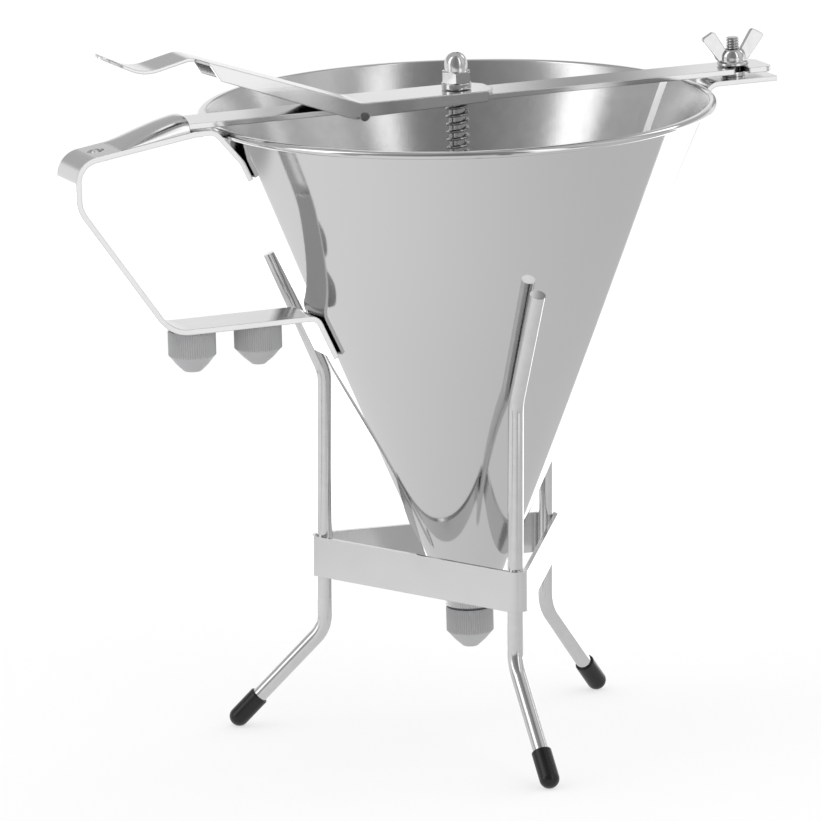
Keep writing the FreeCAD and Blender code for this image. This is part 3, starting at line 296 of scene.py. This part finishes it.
def pick(kind, test):
    """Selects the vertices, edges or faces whose middle passes the test, in mm of the object's own space."""
    bpy.ops.mesh.select_mode(type=kind)
    bpy.ops.mesh.select_all(action="DESELECT")
    bm = bmesh.from_edit_mesh(bpy.context.object.data)
    for part in {"VERT": bm.verts, "EDGE": bm.edges, "FACE": bm.faces}[kind]:
        spots = [part.co] if kind == "VERT" else [v.co for v in part.verts]
        if test(sum(spots, Vector()) / len(spots) / MM):
            part.select_set(True)
    bmesh.update_edit_mesh(bpy.context.object.data)


def grow(shift, scale, center):
    """Extrudes the selected loop, moves it, and resizes it about a point."""
    bpy.ops.mesh.extrude_edges_move(TRANSFORM_OT_translate={"value": Vector(shift) * MM})
    if scale != (1, 1, 1):
        bpy.ops.transform.resize(value=scale, center_override=Vector(center) * MM)


def draw(points, closed=True):
    """Draws a line: a plane merged to one vertex, extruded from point to point, and joined up if it is closed."""
    points = [Vector(point) for point in points]
    begin("plane", size=MM)
    bpy.ops.mesh.merge(type="CENTER")
    bpy.ops.transform.translate(value=points[0] * MM)
    for here, ahead in zip(points, points[1:]):
        bpy.ops.mesh.extrude_vertices_move(TRANSFORM_OT_translate={"value": (ahead - here) * MM})
    if closed:
        pick("VERT", lambda spot: min((spot - points[0]).length, (spot - points[-1]).length) < 0.001)
        bpy.ops.mesh.edge_face_add()
        bpy.ops.mesh.select_all(action="SELECT")


def turn_profile(profile, around, ring=True):
    """Turns a profile of (radius, height) about the z axis: a circle, extruded and resized from step to step."""
    radius, height = profile[0]
    begin("circle", vertices=around, radius=radius * MM)
    bpy.ops.transform.translate(value=(0, 0, height * MM))
    for ahead, above in profile[1:]:
        share = ahead / radius
        grow((0, 0, above - height), (share, share, 1), (0, 0, above))
        radius, height = ahead, above
    close_up(ring)


def close_up(ring=False):
    """Closes the open ends, to each other or with a face each, and turns the faces outwards."""
    bpy.ops.mesh.select_mode(type="EDGE")
    bpy.ops.mesh.select_all(action="DESELECT")
    bpy.ops.mesh.select_non_manifold()
    if ring:
        bpy.ops.mesh.bridge_edge_loops()
    else:
        bpy.ops.mesh.fill_holes(sides=0)
    bpy.ops.mesh.select_all(action="SELECT")
    bpy.ops.mesh.normals_make_consistent(inside=False)
    bpy.ops.object.mode_set(mode="OBJECT")


def join_parts(parts):
    """Joins finished parts into the last of them."""
    for part in parts:
        part.select_set(True)
    bpy.context.view_layer.objects.active = parts[-1]
    bpy.ops.object.join()


def finish_piece(name, place, material, body, node=None, smooth_angle=40):
    """Sets the active mesh in its place, with the place in its mesh, and hands it to the frame."""
    piece = bpy.context.object
    piece.name = piece.data.name = name
    piece.matrix_basis = place @ piece.matrix_basis
    bpy.ops.object.transform_apply(location=True, rotation=True, scale=True)
    piece.data.materials.clear()
    for part in material if isinstance(material, list) else [material]:
        piece.data.materials.append(part)
    bpy.ops.object.shade_smooth_by_angle(angle=math.radians(smooth_angle))
    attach(piece, body)
    if node:
        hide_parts(node)
    return piece


def wall(height):
    return (height - APEX) * SLOPE


# The funnel's shell, with a polished outside and a brushed inside.
def funnel_shell():
    rim_radius = wall(RIM) + 2.52
    low = RIM - 2 * ROLL
    profile = [(wall(CONE_END), CONE_END)]
    for share in (0.02, 0.1, 0.3, 0.5, 0.7, 0.9, 0.98, 1.0):
        height = CONE_END + (low - CONE_END) * share
        profile.append((wall(height), height))
    middle = rim_radius - ROLL
    for step in range(13):
        turn = -math.pi / 2 + math.pi * step / 12
        profile.append((middle + ROLL * math.cos(turn), RIM - ROLL + ROLL * math.sin(turn)))
    inner = wall(RIM) - SHEET
    for step in range(6):
        turn = math.radians(90 + 65 * step / 5)
        profile.append((inner + 1.0 + 0.9 * math.cos(turn), RIM - 0.9 + 0.9 * math.sin(turn)))
    for share in (0.01, 0.05, 0.2, 0.4, 0.6, 0.8, 0.95, 1.0):
        height = RIM - 1.2 - (RIM - 1.2 - CONE_END) * share
        profile.append((wall(height) - SHEET, height))
    turn_profile(profile, 256)
    shell = bpy.context.object
    inside = []
    for face in shell.data.polygons:
        spot = face.center / MM
        inside.append(spot.z < RIM - 0.8 and math.hypot(spot.x, spot.y) < wall(spot.z) - SHEET * 0.75)
    finish_piece("funnel_shell", TO_WORLD, [polished_sheet(), brushed_inside()], "funnel",
                 "funnel_cone", 50)
    for face, brushed in zip(shell.data.polygons, inside):
        face.material_index = 1 if brushed else 0


def threaded_stud(material):
    """The clamp stud: one thread's profile, wound up by a screw, and cut off square at both ends."""
    low, high, radius, pitch, depth, bends = 238.35, 252.6, 2.4, 1.0, 0.42, 8
    points = []
    for bend in range(bends + 1):
        share = bend / bends
        groove = depth * (1 - abs(2 * share - 1)) ** 1.3
        points.append(Vector((radius - groove, 0, low - 1.983 * pitch + share * pitch)))
    draw(points, False)
    bpy.ops.object.mode_set(mode="OBJECT")
    screw = bpy.context.object.modifiers.new("thread", "SCREW")
    screw.steps = screw.render_steps = 36
    screw.iterations = 17
    screw.screw_offset = pitch * MM
    screw.use_merge_vertices = True
    screw.merge_threshold = 0.000001
    bpy.ops.object.modifier_apply(modifier="thread")
    bpy.ops.object.mode_set(mode="EDIT")
    bpy.ops.mesh.select_all(action="SELECT")
    bpy.ops.mesh.remove_doubles(threshold=0.000001)
    for height, way in ((low, -1), (high, 1)):
        bpy.ops.mesh.select_all(action="SELECT")
        bpy.ops.mesh.bisect(plane_co=(0, 0, height * MM), plane_no=(0, 0, way), use_fill=True, clear_outer=True,
                            threshold=0.000001)
    for above, share in ((0.45, 0.95), (0.12, 0.94)):
        pick("VERT", lambda spot: spot.z > high - above)
        bpy.ops.transform.resize(value=(share, share, 1), center_override=(0, 0, high * MM))
    close_up()
    finish_piece("threaded_stud", HANDLE_TO_WORLD @ Matrix.Translation(Vector((-111.0 * MM, 0, 0))), material,
                 "funnel", "clamp_stud", 28)


def coil_spring(material):
    """The valve's spring: its wire's ring, extruded, turned and raised step by step. It is built at one fixed length;
    on the dispenser the rising valve squeezes it.
    """
    low, top, radius, wire, closed, turns, steps = 209.7, 239.7, 3.9, 1.0, 1.5, 9, 24
    opened = (top - low - wire - 2 * closed) / turns
    begin("circle", vertices=12, radius=wire / 2 * MM, rotation=(math.pi / 2, 0, 0))
    bpy.ops.transform.translate(value=Vector((radius, 0, low + wire / 2)) * MM)
    for pitch in [closed] * steps + [opened] * turns * steps + [closed] * steps:
        bpy.ops.mesh.extrude_edges_move(TRANSFORM_OT_translate={"value": (0, 0, pitch / steps * MM)})
        bpy.ops.transform.rotate(value=-2 * math.pi / steps, orient_axis="Z", center_override=(0, 0, 0))
    close_up()
    spring = finish_piece("coil_spring", TO_WORLD, material, "funnel", "valve_spring", 60)
    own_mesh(spring)


def rounded_outline(corners, steps=5):
    """A closed outline of (across, up, radius) corners, with its corners rounded."""
    points = []
    count = len(corners)
    for index, (x, y, radius) in enumerate(corners):
        here = Vector((x, y))
        back = (Vector(corners[index - 1][:2]) - here).normalized()
        ahead = (Vector(corners[(index + 1) % count][:2]) - here).normalized()
        if radius == 0:
            points.append(here)
            continue
        half = back.angle(ahead) / 2
        start, stop = here + back * radius / math.tan(half), here + ahead * radius / math.tan(half)
        middle = here + (back + ahead).normalized() * radius / math.sin(half)
        for step in range(steps + 1):
            spoke = (start - middle).lerp(stop - middle, step / steps)
            points.append(middle + spoke.normalized() * radius)
    return points


def clamp_wing_nut(material):
    """Wing nut with a round hub and two straight pressed wings."""
    floor_radius, bore = 5.9, 2.45
    parts = []
    for side in (1, -1):
        outline = rounded_outline([(3.2, 1.4, 0), (6.0, 1.8, 0.8), (12.85, 10.4, 1.2), (7.7, 13.15, 1.3),
                                   (3.0, 5.8, 0.6)])
        draw([(side * spot.x, -0.9, spot.y) for spot in outline])
        bpy.ops.mesh.edge_face_add()
        bpy.ops.mesh.extrude_region_move(TRANSFORM_OT_translate={"value": (0, 1.8 * MM, 0)})
        for face in (-0.9, 0.9):
            pick("EDGE", lambda spot: abs(spot.y - face) < 0.001)
            bpy.ops.mesh.bevel(offset=0.3 * MM, segments=2)
        close_up()
        parts.append(bpy.context.object)
    turn_profile([(bore, 0.0), (floor_radius - 0.3, 0.0), (floor_radius, 0.3), (floor_radius, 1.0),
                  (floor_radius - 0.4, 1.4), (4.9, 1.55), (4.75, 1.9), (4.8, 2.8), (4.7, 3.8), (4.35, 4.7),
                  (3.85, 5.4), (3.4, 5.75), (bore, 5.9)], 64)
    join_parts(parts + [bpy.context.object])
    nut = finish_piece("clamp_wing_nut", HANDLE_TO_WORLD @ Matrix.Translation(Vector((-111.0, 0, 242.3)) * MM),
                       material, "wing_nut", "wing_nut", 35)
    flatten = nut.modifiers.new("flat_wings", "WEIGHTED_NORMAL")
    flatten.keep_sharp = True
    bpy.ops.object.modifier_apply(modifier="flat_wings")


def valve_cap_nut(material):
    """Domed cap nut: a hexagon, its corners turned down by a cone at both ends, under a tall dome."""
    corner, chamfer, tall, edge = 5.83, 5.25, 4.1, 0.35
    turn_profile([(chamfer, 0.0), (corner + 0.02, edge), (corner + 0.02, tall - edge), (chamfer, tall)], 120, False)
    cutter = bpy.context.object
    begin("cylinder", vertices=6, radius=corner * MM, depth=tall * MM, location=(0, 0, tall / 2 * MM))
    bpy.ops.object.mode_set(mode="OBJECT")
    hexagon = bpy.context.object
    turned = hexagon.modifiers.new("chamfer", "BOOLEAN")
    turned.operation, turned.object = "INTERSECT", cutter
    bpy.ops.object.modifier_apply(modifier="chamfer")
    bpy.ops.object.transform_apply(location=True, rotation=False, scale=False)
    bpy.data.objects.remove(cutter)
    dome = [(4.5, 0.0), (4.3, 0.2), (4.2, 3.2), (4.0, 4.2), (3.55, 5.2), (2.85, 6.0), (1.9, 6.6), (0.9, 6.9)]
    turn_profile([(radius, tall + height) for radius, height in dome], 120, False)
    join_parts([hexagon, bpy.context.object])
    finish_piece("valve_cap_nut", TO_WORLD @ Matrix.Translation(Vector((0, 0, 246.1)) * MM), material, "valve",
                 "cap_nut", 32)


def ribbed_nozzle(name, node, body, place, tip, bore, material):
    """Screw-on nozzle: fine straight ribs, then one taper to the tip."""
    radius, ribs, deep, sides = 8.75, 64, 0.36, 6
    rows = [(0.0, radius - 0.35), (-0.35, radius), (-8.8, radius), (-9.0, radius - 0.02), (-9.25, radius - 0.27),
            (-9.6, radius - 0.62)]
    rest = [(-12.3, (radius + tip) / 2), (-14.8, tip + 0.2), (-15.0, tip - 0.1), (-15.0, bore + 0.15),
            (-14.8, bore), (-12.6, bore), (-6.6, 6.78), (0.0, 6.78)]
    grooves = [radius - deep * (0.5 - 0.5 * math.cos(2 * math.pi * side / sides)) for side in range(sides // 2 + 1)]
    begin("circle", vertices=ribs * sides, radius=radius * MM)

    def side_of(spot):
        turn = round(math.atan2(spot.y, spot.x) / (2 * math.pi) * ribs * sides) % sides
        return min(turn, sides - turn)

    reach = [radius] * len(grooves)
    height = 0.0
    for index, (level, limit) in enumerate(rows):
        if index:
            bpy.ops.mesh.extrude_edges_move(TRANSFORM_OT_translate={"value": (0, 0, (level - height) * MM)})
        height = level
        for side, groove in enumerate(grooves):
            pick("VERT", lambda spot: abs(spot.z - level) < 0.001 and side_of(spot) == side)
            share = min(limit, groove) / reach[side]
            bpy.ops.transform.resize(value=(share, share, 1), center_override=(0, 0, level * MM))
            reach[side] = min(limit, groove)
        pick("EDGE", lambda spot: abs(spot.z - level) < 0.001)
    limit = rows[-1][1]
    for ahead, reached in rest:
        share = reached / limit
        grow((0, 0, ahead - height), (share, share, 1), (0, 0, ahead))
        height, limit = ahead, reached
    close_up(True)
    finish_piece(name, place, material, body, node, 30)


def pressed_hood(material):
    """Pressed hood on the strap: a swelling tongue with rounded shoulders, open towards the funnel."""
    tail, mouth, half, sheet = 134.5, 108.0, 9.6, 0.8
    base, fall, tall, across, power = 239.025, 0.15, 5.4, 28, 2.6
    hollow = mouth + (tail - mouth) * 0.63

    def section(x, shrink):
        share = (tail - x) / (tail - mouth)
        lift = tall * (1 - (1 - share) ** 1.75) + 0.02
        if share > 0.9:
            lift -= 0.35 * ((share - 0.9) / 0.1) ** 2
        return base - (x - mouth) * fall, half - shrink, max(lift - shrink, 0.01)

    floor, width, height = section(hollow, sheet)
    points = []
    for step in range(across + 1):
        turn = math.pi * step / across
        c, s = math.cos(turn), math.sin(turn)
        points.append((hollow, width * math.copysign(abs(c) ** (2 / power), c), floor + height * abs(s) ** (2 / power)))
    draw(points)
    spots = [((mouth + hollow) / 2, sheet), (mouth + 0.01, sheet)]
    spots += [(mouth + (tail - mouth) * (1 - (1 - step / 26) ** 1.1), 0.0) for step in range(27)]
    x = hollow
    for ahead, shrink in spots:
        last = floor, width, height
        floor, width, height = section(ahead, shrink)
        grow((ahead - x, 0, floor - last[0]), (1, width / last[1], height / last[2]), (ahead, 0, floor))
        x = ahead
    close_up()
    finish_piece("pressed_hood", HANDLE_TO_WORLD, material, "funnel", "bar_hood", 50)


def weld_beads(material):
    """A small weld where each upright meets the top edge of the band, flattened underneath."""
    parts = []
    for angle in (172, 292, 52):
        turn = math.radians(angle)
        begin("uv_sphere", segments=20, ring_count=10, radius=1.35 * MM)
        bpy.ops.transform.resize(value=(0.8, 1.5, 0.55), center_override=(0, 0, 0))
        pick("VERT", lambda spot: spot.z < -0.01)
        bpy.ops.transform.resize(value=(1.08, 1.08, 0.8), center_override=(0, 0, 0))
        bpy.ops.object.mode_set(mode="OBJECT")
        bead = bpy.context.object
        spot = Vector((53.9 * math.cos(turn), 53.9 * math.sin(turn), 74.2)) * MM
        bead.matrix_basis = Matrix.Translation(spot) @ Matrix.Rotation(turn, 4, "Z")
        parts.append(bead)
    join_parts(parts)
    finish_piece("weld_beads", Matrix(), material, "stand", None, 60)


def dress_nodes():
    handle_way = HANDLE_TO_WORLD.to_3x3() @ Vector((1, 0, 0))
    strap = strap_steel("strap_steel", handle_way, 0.66, 0.15)
    bar = strap_steel("bar_steel", handle_way, 0.66, 0.13)
    pressed = strap_steel("lever_steel", handle_way, 0.68, 0.12, 0.0006)
    rod, band = rod_steel(), band_steel()
    chrome, spring, rubber = hardware_chrome(), spring_steel(), black_rubber()
    plastic = grey_plastic()
    seal = grey_plastic("seal_rubber", 0.07)
    pin = strap_steel("pin_steel", (0, 0, 1), 0.22, 0.25)
    finishes = {
        strap: ["handle_strap", "clamp_bracket", "bar_hood"],
        bar: ["cross_bar", "pivot_knuckle"],
        pressed: ["lever"],
        pin: ["pivot_pin"],
        rod: ["stand_rod_left", "stand_rod_front", "stand_rod_right", "valve_rod", "nozzle_peg_outer",
              "nozzle_peg_inner"],
        band: ["stand_band"],
        seal: ["sealing_ring"],
        chrome: ["spacer_washer", "spring_stop", "nut_washer", "cap_nut", "wing_nut"],
        spring: ["valve_spring"],
        rubber: ["foot_cap_left", "foot_cap_front", "foot_cap_right", "valve_plug"],
        plastic: ["nozzle_mounted", "spare_nozzle_outer", "spare_nozzle_inner"],
        knurled_collar(): ["outlet_collar"],
    }
    for material, names in finishes.items():
        for name in names:
            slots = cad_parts[name].material_slots
            for slot in slots:
                slot.material = material
    funnel_shell()
    threaded_stud(spring)
    coil_spring(spring)
    clamp_wing_nut(chrome)
    valve_cap_nut(chrome)
    pressed_hood(strap)
    weld_beads(spring)
    ribbed_nozzle("mounted_tip", "nozzle_mounted", "mounted_nozzle", TO_WORLD @ Matrix.Translation((0, 0, 49.0 * MM)), 2.8, 2.0, plastic)
    for name, body, reach, tip, bore in (("outer", "outer_spare_nozzle", 106.4, 3.3, 2.6),
                                         ("inner", "inner_spare_nozzle", 80.7, 2.6, 1.6)):
        place = HANDLE_TO_WORLD @ Matrix.Translation(Vector((reach, 0, 164.6)) * MM)
        ribbed_nozzle(f"spare_tip_{name}", f"spare_nozzle_{name}", body, place, tip, bore, plastic)


# The studio.
def studio_world():
    """Soft studio: dim on the camera's side, a tall softbox on each side, and a bright backdrop."""
    world = bpy.data.worlds.new("studio")
    world.use_nodes = True
    bpy.context.scene.world = world
    s = Shader.__new__(Shader)
    s.tree = world.node_tree
    background = s.tree.nodes["Background"]
    way = s.node("TexCoord").outputs["Generated"]
    parts = s.node("SeparateXYZ")
    s.link(way, parts.inputs[0])
    x, y, z = parts.outputs
    turn = s.math("ARCTAN2", x, s.math("MULTIPLY", y, -1.0))
    rise = s.math("ARCSINE", z)
    off = s.math("ABSOLUTE", turn)

    def panel(middle, half, soft, low, high, strength):
        away = s.math("ABSOLUTE", s.math("SUBTRACT", turn, math.radians(middle)))
        across = s.smooth(away, math.radians(half - soft), math.radians(half + soft), 1.0, 0.0)
        over = s.smooth(rise, math.radians(low - 6), math.radians(low + 6))
        under = s.smooth(rise, math.radians(high - 8), math.radians(high + 8), 1.0, 0.0)
        return s.math("MULTIPLY", s.math("MULTIPLY", across, s.math("MULTIPLY", over, under)), strength)
    light = s.smooth(off, math.radians(0), math.radians(85), 0.26, 0.58)
    light = s.math("ADD", light, panel(-70, 11.5, 2, 2, 62, 1.5))
    light = s.math("ADD", light, panel(41, 8, 3, 2, 62, 1.25))
    light = s.math("ADD", light, panel(76, 14, 6, 2, 62, 0.25))
    light = s.math("ADD", light, panel(128, 16, 4, 5, 45, 1.5))
    path = s.node("LightPath")
    soft = s.math("MULTIPLY", path.outputs["Is Diffuse Ray"], 0.75)
    light = s.math("ADD", light, soft)
    seen = s.node("Mix", data_type="FLOAT")
    s.link(path.outputs["Is Camera Ray"], seen.inputs[0])
    s.link(light, seen.inputs[2])
    seen.inputs[3].default_value = 0.955
    s.link(seen.outputs[0], background.inputs["Strength"])
    background.inputs["Color"].default_value = (1, 1, 1, 1)


def studio_floor():
    """Pale seamless table. What shines in the steel is its lit front, with a painted shadow round the stand, and its
    brighter far part.
    """
    bpy.ops.object.select_all(action="DESELECT")
    bpy.ops.mesh.primitive_plane_add(size=12.0)
    floor = bpy.context.object
    floor.name = floor.data.name = "floor"
    s = Shader("pale_floor")
    floor.data.materials.append(s.material)
    s.tree.nodes.remove(s.bsdf)
    output = [n for n in s.tree.nodes if n.type == "OUTPUT_MATERIAL"][0]
    parts = s.node("SeparateXYZ")
    s.link(s.place(), parts.inputs[0])
    x, y, z = parts.outputs
    side = s.smooth(x, -0.35, 0.40, 0.97, 0.70)
    # Painted shadow: the floor's light, as the steel mirrors it, is darkened within about 0.22 m of the stand's middle,
    # in place of the stand's own shadow.
    near = s.smooth(s.vector("LENGTH", s.place(), (0, 0, 0)), 0.02, 0.22, 0.93, 1.0)
    front = s.math("MULTIPLY", side, near)
    turn = s.math("ARCTAN2", x, s.math("MULTIPLY", y, -1.0))
    out = s.vector("LENGTH", s.place(), (0, 0, 0))

    def patch(middle, half, soft, start, strength):
        away = s.math("ABSOLUTE", s.math("SUBTRACT", turn, math.radians(middle)))
        across = s.smooth(away, math.radians(half - soft), math.radians(half + soft), strength, 0.0)
        return s.math("MULTIPLY", across, s.smooth(out, start - 0.05, start + 0.05))
    edge = s.math("ABSOLUTE", s.math("ADD", x, 0.343))
    front = s.math("SUBTRACT", front, s.smooth(edge, 0.008, 0.024, 0.45, 0.0))
    front = s.math("SUBTRACT", front, patch(-46, 4, 2, 0.45, 0.45))
    front = s.math("ADD", front, patch(44, 13, 4, 0.62, 0.6))
    front = s.math("SUBTRACT", front, patch(20, 3, 1, 0.42, 0.45))
    spread = s.math("MULTIPLY", s.math("ABSOLUTE", x), 0.29)
    border = s.math("ADD", s.math("SUBTRACT", spread, s.math("MULTIPLY", x, 0.04)), 0.11)
    far = s.smooth(s.math("SUBTRACT", y, border), -0.006, 0.006)
    shine = s.math("ADD", s.math("MULTIPLY", front, s.math("SUBTRACT", 1.0, far)), s.math("MULTIPLY", far, 2.2))
    seen = s.node("AddShader")
    matte = s.node("BsdfDiffuse")
    matte.inputs["Color"].default_value = (0.30, 0.30, 0.30, 1)
    glow = s.node("Emission")
    glow.inputs["Strength"].default_value = 0.60
    s.link(matte.outputs[0], seen.inputs[0])
    s.link(glow.outputs[0], seen.inputs[1])
    mirrored = s.node("Emission")
    s.link(shine, mirrored.inputs["Strength"])
    bounce = s.node("Emission")
    bounce.inputs["Strength"].default_value = 1.25
    path = s.node("LightPath")
    glossy = s.node("MixShader")
    s.link(path.outputs["Is Glossy Ray"], glossy.inputs[0])
    s.link(bounce.outputs[0], glossy.inputs[1])
    s.link(mirrored.outputs[0], glossy.inputs[2])
    camera = s.node("MixShader")
    s.link(path.outputs["Is Camera Ray"], camera.inputs[0])
    s.link(glossy.outputs[0], camera.inputs[1])
    s.link(seen.outputs[0], camera.inputs[2])
    s.link(camera.outputs[0], output.inputs["Surface"])


def studio_backdrop():
    """Screen behind the object, which only the steel sees: bright low down, grey above, with a grey card and a strip of
    painted shade.
    """
    bpy.ops.object.select_all(action="DESELECT")
    bpy.ops.mesh.primitive_plane_add(size=1.0, location=(0, 0.75, 0.475), rotation=(math.pi / 2, 0, 0))
    screen = bpy.context.object
    screen.name = screen.data.name = "backdrop"
    screen.scale = (4.0, 0.95, 1.0)
    bpy.ops.object.transform_apply(location=True, rotation=True, scale=True)
    s = Shader("screen")
    screen.data.materials.append(s.material)
    s.tree.nodes.remove(s.bsdf)
    output = [n for n in s.tree.nodes if n.type == "OUTPUT_MATERIAL"][0]
    parts = s.node("SeparateXYZ")
    s.link(s.place(), parts.inputs[0])
    x, y, z = parts.outputs
    light = s.smooth(z, 0.42, 0.49, 1.0, 0.55)
    card = s.smooth(s.math("ABSOLUTE", s.math("SUBTRACT", x, 0.055)), 0.01, 0.055, 0.55, 0.0)
    light = s.math("SUBTRACT", light, card)
    # Painted shade: a dark upright strip above z = 0.37. The top of the cross bar mirrors it as a painted reflection of
    # the lever's shaded underside.
    slot = s.smooth(s.math("ABSOLUTE", s.math("ADD", x, 0.08)), 0.012, 0.028, 0.5, 0.0)
    light = s.math("SUBTRACT", light, s.math("MULTIPLY", slot, s.smooth(z, 0.36, 0.38)))
    glow = s.node("Emission")
    s.link(light, glow.inputs["Strength"])
    clear = s.node("BsdfTransparent")
    path = s.node("LightPath")
    seen = s.node("MixShader")
    s.link(path.outputs["Is Glossy Ray"], seen.inputs[0])
    s.link(clear.outputs[0], seen.inputs[1])
    s.link(glow.outputs[0], seen.inputs[2])
    s.link(seen.outputs[0], output.inputs["Surface"])


def studio_camera():
    rise = math.radians(12.57)
    aim = Vector((-0.01899, 0, 0.12305))
    data = bpy.data.cameras.new("camera")
    camera = bpy.data.objects.new("camera", data)
    bpy.context.scene.collection.objects.link(camera)
    camera.location = aim + 3.0 * Vector((0, -math.cos(rise), math.sin(rise)))
    camera.rotation_euler = (math.pi / 2 - rise, 0, 0)
    data.sensor_width = 36
    data.lens = 36 * 8140 / 821
    data.clip_end = 30
    bpy.context.scene.camera = camera


def build():
    dress_nodes()
    studio_world()
    studio_floor()
    studio_backdrop()
    studio_camera()
    bpy.context.scene.view_settings.view_transform = "Standard"
    bpy.context.scene.view_settings.look = "None"


build()
